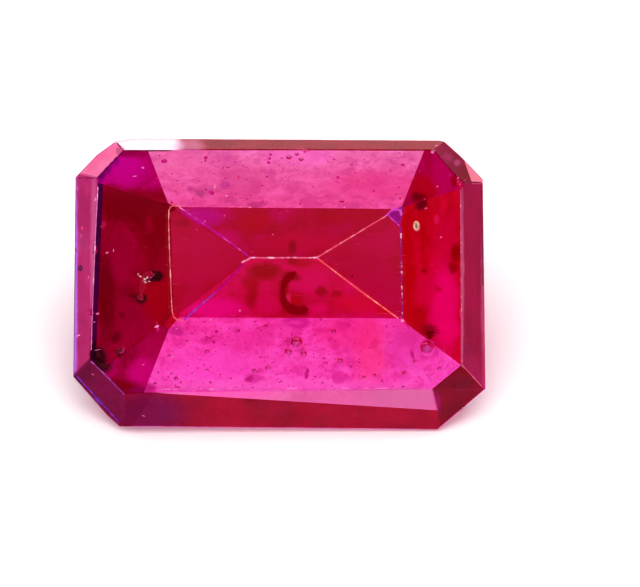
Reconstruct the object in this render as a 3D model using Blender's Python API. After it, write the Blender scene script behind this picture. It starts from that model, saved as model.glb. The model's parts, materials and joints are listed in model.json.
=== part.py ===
# A faceted ruby: an elongated octagon with a flat table, a low crown and a two-step pavilion.
# It is cut the way a cutter does it, one flat at a time from a block, and then lies on the lower
# long side of its pavilion, as a loose stone does when it is put down.
import math
import random

import bmesh
import bpy
from mathutils import Matrix, Vector
from mathutils.geometry import normal

# All sizes are in millimetres until the finished mesh is scaled to metres.
METRES_PER_MM = 0.001

# The block that the stone is cut from.
BLOCK_SIZE = 12.0

# Heights along the table's normal: the crown's from the girdle's upper edge, the depths from its
# lower edge. The two long edges of the lower step lie at slightly different depths.
CROWN_HEIGHT = 0.55
GIRDLE_THICKNESS = 0.15
UPPER_STEP_DEPTH = 2.30
LOWER_STEP_DEPTH = 2.20
KEEL_DEPTH = 2.85

# The stone seen square to its table: x to the right, y up, the girdle's middle at 0, 0.
# The cut is uneven, so each corner has its own place. Corners run clockwise from the upper left.
GIRDLE_OUTLINE = [
    (-4.28, 2.22), (-3.50, 3.03), (3.46, 2.99), (4.24, 2.18),
    (4.30, -2.20), (3.30, -3.05), (-3.42, -2.99), (-4.32, -1.95),
]
TABLE_OUTLINE = [
    (-3.82, 2.22), (-3.25, 2.81), (3.21, 2.80), (3.80, 2.11),
    (3.80, -1.72), (3.19, -2.22), (-3.23, -2.30), (-3.99, -1.59),
]

# The lower step of the pavilion: a rectangle whose four flats rise to a short keel.
STEP_UPPER_LEFT = (-2.33, 1.63)
STEP_UPPER_RIGHT = (2.54, 1.59)
STEP_LOWER_RIGHT = (2.58, -0.75)
STEP_LOWER_LEFT = (-2.25, -0.73)
KEEL_LEFT = (-0.60, 0.545)
KEEL_RIGHT = (0.785, 0.555)

# Where each corner flat of the pavilion meets the long flat and the short flat beside it.
CORNER_UPPER_LEFT = {"long": (-2.77, 2.80), "short": (-3.80, 2.11)}
CORNER_UPPER_RIGHT = {"long": (3.02, 2.80), "short": (3.78, 1.99)}
CORNER_LOWER_LEFT = {"long": (-2.73, -1.97), "short": (-3.86, -1.88)}

# Small flats left where the lower step's corners were trimmed, as distances from the corner.
TRIM_UPPER_RIGHT = {"across": 0.13, "down": 0.36, "inwards": 0.30}
TRIM_UPPER_LEFT = {"across": 0.12, "down": 0.13, "inwards": 0.15}
TRIM_LOWER_LEFT = {"across": 0.12, "down": 0.12, "inwards": 0.15}
TRIM_LOWER_RIGHT = {"across": 0.08, "down": 0.08, "inwards": 0.10}

# Wear: every junction between flats is rubbed to a narrow rounded ridge.
JUNCTION_WEAR = 0.014
JUNCTION_SEGMENTS = 2

# Open cavities and chips: place on the table or along its rim, size across, along and down.
TABLE_CAVITIES = [
    {"at": (-2.77, 0.15), "size": (0.150, 0.095, 0.060), "turn": 25},
    {"at": (-2.92, -0.29), "size": (0.070, 0.055, 0.035), "turn": -10},
    {"at": (2.86, 1.19), "size": (0.085, 0.120, 0.045), "turn": 12},
    {"at": (-3.32, -1.38), "size": (0.100, 0.075, 0.035), "turn": 40},
    {"at": (-2.56, -0.90), "size": (0.035, 0.110, 0.025), "turn": 8},
    {"at": (1.15, -1.60), "size": (0.050, 0.045, 0.025), "turn": 60},
]
RIM_CHIPS = [
    {"at": (-3.89, 0.71), "size": (0.070, 0.130, 0.050), "turn": 2},
    {"at": (-3.96, -0.61), "size": (0.080, 0.100, 0.045), "turn": 5},
    {"at": (3.79, 2.10), "size": (0.110, 0.090, 0.060), "turn": -45},
    {"at": (0.55, 2.80), "size": (0.110, 0.050, 0.040), "turn": 0},
    {"at": (3.80, -0.62), "size": (0.055, 0.090, 0.035), "turn": 0},
]
GIRDLE_CHIPS = [
    {"at": (-4.30, 0.70), "size": (0.060, 0.160, 0.090), "turn": 0},
    {"at": (-4.31, -0.72), "size": (0.050, 0.110, 0.070), "turn": 0},
    {"at": (4.27, 0.40), "size": (0.050, 0.120, 0.080), "turn": 0},
    {"at": (1.90, 3.00), "size": (0.140, 0.050, 0.070), "turn": 0},
    {"at": (-1.30, 3.02), "size": (0.100, 0.045, 0.060), "turn": 0},
    {"at": (3.80, -2.62), "size": (0.120, 0.060, 0.070), "turn": 40},
]
CHIP_ROUGHNESS = 0.22
CHIP_SEED = 7

RUBY_COLOUR = (0.56, 0.004, 0.075, 1.0)
RUBY_INDEX = 1.766


def clearScene():
    for old in list(bpy.data.objects):
        bpy.data.objects.remove(old, do_unlink=True)


def point(place, height):
    return Vector((place[0], place[1], height))


def middle(first, second):
    return ((first[0] + second[0]) / 2, (first[1] + second[1]) / 2)


def flat(first, second, third):
    """A cutting plane through three points: a point on it and its normal, pointing out of the stone."""
    inside = Vector((0, 0, -0.5))
    out = normal(first, second, third)
    if (inside - first).dot(out) > 0:
        out = -out
    return first, out


def dropTo(plane, place):
    """The point of a flat that lies at this place in the view square to the table."""
    on, out = plane
    height = on.z - (out.x * (place[0] - on.x) + out.y * (place[1] - on.y)) / out.z
    return point(place, height)


def girdleFlats():
    """The eight upright sides of the outline."""
    sides = []
    for i, corner in enumerate(GIRDLE_OUTLINE):
        following = GIRDLE_OUTLINE[(i + 1) % 8]
        sides.append(flat(point(corner, 0), point(following, 0), point(corner, -1)))
    return sides


def crownFlats():
    """The table, and eight flats that fall from its edges to the middle of each girdle side."""
    flats = [(point((0, 0), CROWN_HEIGHT), Vector((0, 0, 1)))]
    for i, corner in enumerate(TABLE_OUTLINE):
        following = TABLE_OUTLINE[(i + 1) % 8]
        foot = middle(GIRDLE_OUTLINE[i], GIRDLE_OUTLINE[(i + 1) % 8])
        flats.append(
            flat(point(corner, CROWN_HEIGHT), point(following, CROWN_HEIGHT), point(foot, 0))
        )
    return flats


def trimFlat(corner, along, down, inner, trim):
    """A small flat across one corner of the lower step, cut from the two step edges and the ridge."""
    return flat(
        corner + (along - corner).normalized() * trim["across"],
        corner + (down - corner).normalized() * trim["down"],
        corner + (inner - corner).normalized() * trim["inwards"],
    )


def pavilionFlats():
    """The lower step around the keel, the outer step around it, three corner flats and the trims."""
    upperStep = -GIRDLE_THICKNESS - UPPER_STEP_DEPTH
    lowerStep = -GIRDLE_THICKNESS - LOWER_STEP_DEPTH
    keel = -GIRDLE_THICKNESS - KEEL_DEPTH
    keelLeft, keelRight = point(KEEL_LEFT, keel), point(KEEL_RIGHT, keel)
    innerTop = flat(keelLeft, keelRight, point(middle(STEP_UPPER_LEFT, STEP_UPPER_RIGHT), upperStep))
    innerBottom = flat(keelLeft, keelRight, point(middle(STEP_LOWER_LEFT, STEP_LOWER_RIGHT), lowerStep))
    upperLeft = dropTo(innerTop, STEP_UPPER_LEFT)
    upperRight = dropTo(innerTop, STEP_UPPER_RIGHT)
    lowerRight = dropTo(innerBottom, STEP_LOWER_RIGHT)
    lowerLeft = dropTo(innerBottom, STEP_LOWER_LEFT)
    innerLeft = flat(keelLeft, upperLeft, lowerLeft)
    innerRight = flat(keelRight, upperRight, lowerRight)

    feet = [middle(GIRDLE_OUTLINE[i], GIRDLE_OUTLINE[(i + 1) % 8]) for i in range(8)]
    outerTop = flat(upperLeft, upperRight, point(feet[1], -GIRDLE_THICKNESS))
    outerRight = flat(upperRight, lowerRight, point(feet[3], -GIRDLE_THICKNESS))
    outerBottom = flat(lowerLeft, lowerRight, point(feet[5], -GIRDLE_THICKNESS))
    outerLeft = flat(lowerLeft, upperLeft, point(feet[7], -GIRDLE_THICKNESS))

    cornerUpperLeft = flat(
        upperLeft,
        dropTo(outerTop, CORNER_UPPER_LEFT["long"]),
        dropTo(outerLeft, CORNER_UPPER_LEFT["short"]),
    )
    cornerUpperRight = flat(
        upperRight,
        dropTo(outerTop, CORNER_UPPER_RIGHT["long"]),
        dropTo(outerRight, CORNER_UPPER_RIGHT["short"]),
    )
    cornerLowerLeft = flat(
        lowerLeft,
        dropTo(outerBottom, CORNER_LOWER_LEFT["long"]),
        dropTo(outerLeft, CORNER_LOWER_LEFT["short"]),
    )
    trims = [
        trimFlat(upperRight, upperLeft, lowerRight, keelRight, TRIM_UPPER_RIGHT),
        trimFlat(upperLeft, upperRight, lowerLeft, keelLeft, TRIM_UPPER_LEFT),
        trimFlat(lowerLeft, lowerRight, upperLeft, keelLeft, TRIM_LOWER_LEFT),
        trimFlat(lowerRight, lowerLeft, upperRight, keelRight, TRIM_LOWER_RIGHT),
    ]
    outer = [outerTop, outerRight, outerBottom, outerLeft]
    inner = [innerTop, innerBottom, innerLeft, innerRight]
    return outer + [cornerUpperLeft, cornerUpperRight, cornerLowerLeft] + inner + trims, outerBottom


def grindFlat(stone, on, out):
    """Cuts away all that stands outside one flat, and closes the cut with a single face."""
    cut = bmesh.ops.bisect_plane(
        stone,
        geom=stone.verts[:] + stone.edges[:] + stone.faces[:],
        dist=1e-5,
        plane_co=on,
        plane_no=out,
        clear_outer=True,
    )
    rim = [e for e in cut["geom_cut"] if isinstance(e, bmesh.types.BMEdge) and e.is_boundary]
    if rim:
        bmesh.ops.contextual_create(stone, geom=rim)


def roundJunctions(stone):
    """Wears every edge between two flats to a narrow rounded ridge."""
    bmesh.ops.bevel(
        stone,
        geom=stone.edges[:],
        offset=JUNCTION_WEAR,
        offset_type="OFFSET",
        segments=JUNCTION_SEGMENTS,
        profile=0.5,
        affect="EDGES",
        clamp_overlap=True,
        material=-1,
    )


def buildChip(name, chip, height, dice):
    """An irregular pebble that bites one shell-shaped chip or cavity out of the surface."""
    pebble = bmesh.new()
    bmesh.ops.create_icosphere(pebble, subdivisions=2, radius=1.0)
    for vertex in pebble.verts:
        vertex.co *= 1.0 + dice.uniform(-CHIP_ROUGHNESS, CHIP_ROUGHNESS)
    bmesh.ops.scale(pebble, vec=chip["size"], verts=pebble.verts)
    turn = Matrix.Rotation(math.radians(chip["turn"]), 3, "Z")
    bmesh.ops.rotate(pebble, matrix=turn, verts=pebble.verts)
    bmesh.ops.translate(pebble, vec=point(chip["at"], height), verts=pebble.verts)
    mesh = bpy.data.meshes.new(name)
    pebble.to_mesh(mesh)
    pebble.free()
    cutter = bpy.data.objects.new(name, mesh)
    bpy.context.scene.collection.objects.link(cutter)
    cutter.hide_render = True
    cutter.display_type = "WIRE"
    return cutter


def buildChips():
    dice = random.Random(CHIP_SEED)
    groups = [
        ("cavity", CROWN_HEIGHT, TABLE_CAVITIES),
        ("rim_chip", CROWN_HEIGHT, RIM_CHIPS),
        ("girdle_chip", -GIRDLE_THICKNESS / 2, GIRDLE_CHIPS),
    ]
    chips = []
    for group, height, places in groups:
        for i, chip in enumerate(places):
            chips.append(buildChip(f"{group}_{i + 1}", chip, height, dice))
    return chips


def biteChips(stone, chips):
    """Takes the chips out of the stone one after another, and leaves a plain mesh."""
    for chip in chips:
        bite = stone.modifiers.new(chip.name, "BOOLEAN")
        bite.operation = "DIFFERENCE"
        bite.solver = "EXACT"
        bite.object = chip
    graph = bpy.context.evaluated_depsgraph_get()
    chipped = bpy.data.meshes.new_from_object(stone.evaluated_get(graph))
    stone.modifiers.clear()
    stone.data = chipped
    for chip in chips:
        bpy.data.objects.remove(chip, do_unlink=True)


def layDown(mesh, restingFlat):
    """Turns the stone onto one flat, centres its outline over the origin and scales it to metres."""
    on, out = restingFlat
    turn = out.rotation_difference(Vector((0, 0, -1))).to_matrix().to_4x4()
    mesh.transform(turn)
    floor = (turn @ on).z
    xs = [v.co.x for v in mesh.vertices]
    ys = [v.co.y for v in mesh.vertices]
    centre = Vector(((min(xs) + max(xs)) / 2, (min(ys) + max(ys)) / 2, floor))
    mesh.transform(Matrix.Translation(-centre))
    mesh.transform(Matrix.Scale(METRES_PER_MM, 4))


def rubyMaterial():
    material = bpy.data.materials.new("ruby")
    material.use_nodes = True
    shader = material.node_tree.nodes["Principled BSDF"]
    shader.inputs["Base Color"].default_value = RUBY_COLOUR
    shader.inputs["Roughness"].default_value = 0.04
    shader.inputs["Metallic"].default_value = 0.0
    shader.inputs["IOR"].default_value = RUBY_INDEX
    shader.inputs["Transmission Weight"].default_value = 0.6
    return material


def buildRuby():
    stone = bmesh.new()
    bmesh.ops.create_cube(stone, size=BLOCK_SIZE)
    pavilion, restingFlat = pavilionFlats()
    for on, out in girdleFlats() + crownFlats() + pavilion:
        grindFlat(stone, on, out)
    bmesh.ops.recalc_face_normals(stone, faces=stone.faces[:])
    roundJunctions(stone)
    mesh = bpy.data.meshes.new("ruby")
    stone.to_mesh(mesh)
    stone.free()
    ruby = bpy.data.objects.new("ruby", mesh)
    bpy.context.scene.collection.objects.link(ruby)
    biteChips(ruby, buildChips())
    layDown(ruby.data, restingFlat)
    ruby.data.name = "ruby"
    ruby.data.materials.clear()
    ruby.data.materials.append(rubyMaterial())
    return ruby


clearScene()
buildRuby()
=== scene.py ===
# A cut ruby lying on a pale surface: the polished stone, what grew inside it, and the light.
import json
import math
import random

import bmesh
import bpy
from mathutils import Matrix, Vector, noise
from mathutils.bvhtree import BVHTree


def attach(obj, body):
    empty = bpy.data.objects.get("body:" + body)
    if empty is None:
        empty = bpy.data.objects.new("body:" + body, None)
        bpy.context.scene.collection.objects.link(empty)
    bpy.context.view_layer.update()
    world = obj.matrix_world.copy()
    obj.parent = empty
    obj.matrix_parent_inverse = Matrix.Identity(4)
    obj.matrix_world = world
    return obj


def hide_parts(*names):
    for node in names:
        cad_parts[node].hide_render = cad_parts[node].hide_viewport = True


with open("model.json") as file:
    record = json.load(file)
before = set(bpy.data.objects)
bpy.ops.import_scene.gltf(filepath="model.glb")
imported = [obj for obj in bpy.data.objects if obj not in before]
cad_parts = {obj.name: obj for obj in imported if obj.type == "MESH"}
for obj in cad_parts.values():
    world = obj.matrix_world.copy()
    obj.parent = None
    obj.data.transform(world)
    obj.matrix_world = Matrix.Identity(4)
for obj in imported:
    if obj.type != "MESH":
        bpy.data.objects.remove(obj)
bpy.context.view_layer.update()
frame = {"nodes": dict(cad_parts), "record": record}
mm = 0.001


# the stone's own directions: x along its length, y up its table, n out of the table
def stoneDirections():
    table = next(m for m in frame["record"]["mounts"] if m["name"] == "table")
    n = Vector(table["axis"]).normalized()
    x = (Vector((1, 0, 0)) - n * n.x).normalized()
    y = n.cross(x)
    points = [v.co for v in frame["nodes"]["ruby"].data.vertices]
    spread = [[p.dot(axis) for p in points] for axis in (x, y, n)]
    middle = [(min(s) + max(s)) / 2 for s in spread]
    return x, y, n, x * middle[0] + y * middle[1] + n * max(spread[2])


xAxis, yAxis, nAxis, tableMiddle = stoneDirections()
stoneRows = Matrix((xAxis, yAxis, nAxis))
stoneTurn = stoneRows.transposed().to_4x4()

# the photograph, which looks square at the table
view = {
    "frame": (640, 587),
    "stoneAt": (279.5, 284.0),  # the middle of the stone's outline in it
    "pixel": 8.6 / 411,  # mm
    "distance": 0.25,
    "aimDepth": 0.55,  # mm under the table
    "sensor": 36,
    "clip": (0.001, 10),
    "gamma": 0.65,
}


# a place in the photograph, in mm right of and above the stone's middle
def mmOf(px, py):
    return (px - view["stoneAt"][0]) * view["pixel"], (view["stoneAt"][1] - py) * view["pixel"]


# the same as a point of the stone, so many mm under its table
def place(px, py, depth=0.0):
    across, up = mmOf(px, py)
    return tableMiddle + (xAxis * across + yAxis * up - nAxis * depth) * mm


def depthOf(point):
    return (tableMiddle - point).dot(nAxis) / mm


def newMaterial(name):
    material = bpy.data.materials.new(name)
    material.use_nodes = True
    tree = material.node_tree
    return material, tree, tree.nodes["Principled BSDF"]


# fills a node's inputs: another node's output is linked in, and anything else is the input's own value
def setSockets(node, values):
    for name, value in values.items():
        if isinstance(value, bpy.types.NodeSocket):
            node.id_data.links.new(value, node.inputs[name])
        else:
            node.inputs[name].default_value = value


def addNode(tree, kind, values=None, **settings):
    node = tree.nodes.new("ShaderNode" + kind)
    for name, value in settings.items():
        setattr(node, name, value)
    setSockets(node, values or {})
    return node


def maths(tree, operation, *values, **settings):
    return addNode(tree, "Math", dict(enumerate(values)), operation=operation, **settings).outputs[0]


def vectorMaths(tree, operation, *values):
    node = addNode(tree, "VectorMath", dict(enumerate(values)), operation=operation)
    return node.outputs["Value" if operation in ("LENGTH", "DOT_PRODUCT") else "Vector"]


def mapRange(tree, value, low, high, bottom=0.0, top=1.0, **settings):
    values = {"Value": value, "From Min": low, "From Max": high, "To Min": bottom, "To Max": top}
    return addNode(tree, "MapRange", values, **settings).outputs["Result"]


def smoothStep(tree, value, low, high, bottom=0.0, top=1.0):
    return mapRange(tree, value, low, high, bottom, top, interpolation_type="SMOOTHSTEP")


def mixColours(tree, factor, under, over, blend="MIX"):
    values = {"Factor": factor, 6: under, 7: over}
    return addNode(tree, "Mix", values, data_type="RGBA", blend_type=blend).outputs[2]


def meshFrom(body, name, smooth=False):
    mesh = bpy.data.meshes.new(name)
    body.to_mesh(mesh)
    body.free()
    for face in mesh.polygons:
        face.use_smooth = smooth
    return mesh


def addPiece(name, body, material, smooth=False):
    mesh = meshFrom(body, name, smooth)
    piece = bpy.data.objects.new(name, mesh)
    bpy.context.scene.collection.objects.link(piece)
    mesh.materials.clear()
    mesh.materials.append(material)
    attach(piece, "root")
    return piece


# the polished stone
stone = {
    "tint": (1.0, 0.985, 0.99, 1.0),
    "ior": 1.766,
    "glint": (0.6, 0.15, 0.26, 1.0),
    "polish": {"facet": 0.02, "pavilion": 0.06, "worn": 0.3},
    "pavilionSide": -0.1,  # a face is the pavilion's if it looks away from the table by this
    "absorbColour": (0.97, 0.0, 0.6, 1.0),
    "absorbDensity": 260.0,
    "through": 0.92,  # the share of the light that the table lets out
    "brightest": 2.0,
    "mergeDistance": 1e-7,
    "wornArea": 0.02e-6,  # m2, under this a face is a chip or a worn ridge
    "wornLength": 0.4,  # mm, and none of its edges is longer
    "scratches": {"Scale": 1.6, "Depth": 0.25},
    "bump": {"Strength": 0.25, "Distance": 0.00001},
}


def solidBody():
    body = bmesh.new()
    body.from_mesh(frame["nodes"]["ruby"].data)
    bmesh.ops.remove_doubles(body, verts=body.verts[:], dist=stone["mergeDistance"])
    return body


# the light of one channel of a screen colour, by the screen's standard curve
def linearOf(level):
    if level < 10.3:
        return level / 255 / 12.92
    return ((level / 255 + 0.055) / 1.055) ** 2.4


# a material colour that looks like the given screen colour from above the table, through so much stone
def seen(colour, depth):
    values = []
    for channel, level in enumerate(colour):
        absorb = stone["absorbDensity"] * (1 - stone["absorbColour"][channel])
        bright = linearOf(level) ** view["gamma"] / math.exp(-absorb * depth * mm) / stone["through"]
        values.append(min(bright, stone["brightest"]))
    return (*values, 1.0)


# texture places in mm: x right and y up in the photograph, z out of the table
def stonePlace(tree):
    mapping = addNode(tree, "Mapping", {
        "Vector": addNode(tree, "TexCoord").outputs["Object"],
        "Location": -(stoneRows @ tableMiddle) / mm,
        "Rotation": stoneRows.to_euler(),
        "Scale": (1 / mm, 1 / mm, 1 / mm),
    })
    return mapping.outputs["Vector"]


# an empty group with its inputs, of which the numbers have values of their own, and its outputs
def newGroup(name, colours, vectors, numbers, outputs):
    group = bpy.data.node_groups.new(name, "ShaderNodeTree")
    for label in colours:
        group.interface.new_socket(label, in_out="INPUT", socket_type="NodeSocketColor")
    for label in vectors:
        group.interface.new_socket(label, in_out="INPUT", socket_type="NodeSocketVector")
    for label, value in numbers.items():
        socket = group.interface.new_socket(label, in_out="INPUT", socket_type="NodeSocketFloat")
        socket.default_value = value
    for label, kind in outputs.items():
        group.interface.new_socket(label, in_out="OUTPUT", socket_type="NodeSocket" + kind)
    return group, group.nodes.new("NodeGroupInput").outputs, group.nodes.new("NodeGroupOutput")


# one soft patch of colour laid over what is there
def patchGroup():
    group, given, result = newGroup(
        "softPatch", ("Color", "Patch"), ("Place", "Centre", "Across"), {"Edge": 0.5, "Amount": 1.0},
        {"Color": "Color"})
    offset = vectorMaths(group, "SUBTRACT", given["Place"], given["Centre"])
    away = vectorMaths(group, "LENGTH", vectorMaths(group, "MULTIPLY", offset, given["Across"]))
    inner = maths(group, "SUBTRACT", 1.0, given["Edge"])
    outer = maths(group, "ADD", 1.0, given["Edge"])
    cover = smoothStep(group, away, inner, outer, 1.0, 0.0)
    amount = maths(group, "MULTIPLY", cover, given["Amount"])
    setSockets(result, {"Color": mixColours(group, amount, given["Color"], given["Patch"])})
    return group


# growth clouds: darker and paler zones of two sizes, and small ring-shaped seeds
growth = {
    "clouds": {"Detail": 6.0, "Roughness": 0.62, "Distortion": 0.5},
    "grains": {"Scale": 7.0, "Detail": 4.0, "Roughness": 0.7, "Distortion": 0.6},
    "deep": (0.51, 0.37),
    "pale": (0.5, 0.63),
    "grain": (0.5, 0.38),
    "ringAt": 0.16,
    "ring": (0.09, 0.02),
    "chosen": (0.6, 0.7),  # which cells hold a seed
}


def cloudGroup():
    group, given, result = newGroup(
        "growthClouds", ("Color", "Deep", "Pale"), ("Place",),
        {"Scale": 1.2, "Deep Amount": 0.6, "Pale Amount": 0.5, "Grain": 0.2, "Seeds": 0.3, "Seed Scale": 4.0},
        {"Color": "Color"})
    where = {"Vector": given["Place"]}
    clouds = addNode(group, "TexNoise", {**where, **growth["clouds"], "Scale": given["Scale"]}).outputs["Fac"]
    grains = addNode(group, "TexNoise", {**where, **growth["grains"]}).outputs["Fac"]
    cells = addNode(group, "TexVoronoi", {**where, "Scale": given["Seed Scale"], "Randomness": 1.0})
    off = maths(group, "SUBTRACT", cells.outputs["Distance"], growth["ringAt"])
    ring = smoothStep(group, maths(group, "ABSOLUTE", off), *growth["ring"])
    shade = addNode(group, "SeparateColor", {"Color": cells.outputs["Color"]}).outputs["Red"]
    chosen = mapRange(group, shade, *growth["chosen"])
    steps = (
        (smoothStep(group, clouds, *growth["pale"]), "Pale Amount", "Pale"),
        (smoothStep(group, clouds, *growth["deep"]), "Deep Amount", "Deep"),
        (smoothStep(group, grains, *growth["grain"]), "Grain", "Deep"),
        (maths(group, "MULTIPLY", ring, chosen), "Seeds", "Deep"),
    )
    colour = given["Color"]
    for mask, share, tint in steps:
        amount = maths(group, "MULTIPLY", mask, given[share])
        colour = mixColours(group, amount, colour, given[tint])
    setSockets(result, {"Color": colour})
    return group


# hair scratches and dust on a polished face: how dull it is, and its height
hairs = {
    "stretch": {"Rotation": (0, 0, 0.7), "Scale": (1.0, 14.0, 1.0)},
    "lines": {"Detail": 2.0, "Roughness": 0.8, "Distortion": 0.3},
    "cut": (0.66, 0.72),
    "cutDull": 0.15,
    "dust": {"Scale": 0.9, "Detail": 5.0, "Roughness": 0.65},
    "dustDull": (0.45, 0.7, 0.0, 0.06),
}


def wearGroup():
    group, given, result = newGroup(
        "faceWear", (), ("Place",), {"Polish": 0.02, "Scale": 1.6, "Depth": 0.25},
        {"Roughness": "Float", "Height": "Float"})
    stretched = addNode(group, "Mapping", {"Vector": given["Place"], **hairs["stretch"]}).outputs["Vector"]
    lines = addNode(group, "TexNoise", {"Vector": stretched, "Scale": given["Scale"], **hairs["lines"]})
    hair = smoothStep(group, lines.outputs["Fac"], *hairs["cut"])
    dust = addNode(group, "TexNoise", {"Vector": given["Place"], **hairs["dust"]}).outputs["Fac"]
    dull = maths(group, "MULTIPLY", hair, hairs["cutDull"])
    both = maths(group, "ADD", dull, mapRange(group, dust, *hairs["dustDull"]))
    setSockets(result, {
        "Roughness": maths(group, "ADD", both, given["Polish"], use_clamp=True),
        "Height": maths(group, "MULTIPLY", hair, given["Depth"]),
    })
    return group


groups = {"softPatch": patchGroup(), "growthClouds": cloudGroup(), "faceWear": wearGroup()}


def useGroup(tree, name, values):
    return addNode(tree, "Group", values, node_tree=groups[name])


def stoneMaterial():
    material, tree, shader = newMaterial("ruby")
    polish = addNode(tree, "Attribute", attribute_name="polish").outputs["Fac"]
    wear = useGroup(tree, "faceWear", {"Place": stonePlace(tree), "Polish": polish, **stone["scratches"]})
    bump = addNode(tree, "Bump", {**stone["bump"], "Height": wear.outputs["Height"]})
    setSockets(shader, {
        "Base Color": stone["tint"], "IOR": stone["ior"], "Transmission Weight": 1.0,
        "Specular Tint": stone["glint"],
        "Roughness": wear.outputs["Roughness"], "Normal": bump.outputs["Normal"],
    })
    absorb = addNode(tree, "VolumeAbsorption", {
        "Color": stone["absorbColour"], "Density": stone["absorbDensity"]})
    setSockets(tree.nodes["Material Output"], {"Volume": absorb.outputs["Volume"]})
    return material


def buildStone():
    body = solidBody()
    polish = body.faces.layers.float.new("polish")
    for face in body.faces:
        side = "pavilion" if face.normal.dot(nAxis) < stone["pavilionSide"] else "facet"
        face[polish] = stone["polish"][side]
        longest = max(e.calc_length() for e in face.edges)
        if face.calc_area() < stone["wornArea"] and longest < stone["wornLength"] * mm:
            face[polish] = stone["polish"]["worn"]
    piece = addPiece("cut_stone", body, stoneMaterial())
    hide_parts("ruby")
    print("stone built")


# the zones of colour under each polished face, named by where the face looks: painted light and shade,
# glowing sheets coloured with how each face looks lit from above the table, bright where the stone sends
# light back and dark where it holds shade. Colours are screen colours.
# A patch is its middle and its half widths in the photograph, its colour, how much of it, and how soft.
zones = {
    "lift": 0.03,  # mm under the polished face
    "glow": 0.82,  # painted light: how strongly the zones shine by themselves
    "base": (0.22, 0.22, 0.22, 1.0),  # how much of the colour plain light brings out
    "cloudSockets": ("Scale", "Deep Amount", "Pale Amount", "Grain", "Seeds", "Seed Scale"),
    "edge": 0.5,  # how soft a patch is that doesn't say
    "drift": {"pavilion": (1.8, 0.22), "crown": (3.0, 0.06)},  # how fine and how wide patches waver
    "driftNoise": {"Detail": 3.0, "Roughness": 0.6},
    "cover": {"pavilion": (0.94, 0.3), "crown": (0.35, 0.92)},  # how solid from inside and from outside
    "alike": 0.998,  # how nearly a face looks the way that a zone names
    "parallel": 0.9993,  # and how nearly it is parallel to the largest such face
    "level": 0.02,  # mm over or under that face
    "dissolveAngle": 0.02,
}
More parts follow.
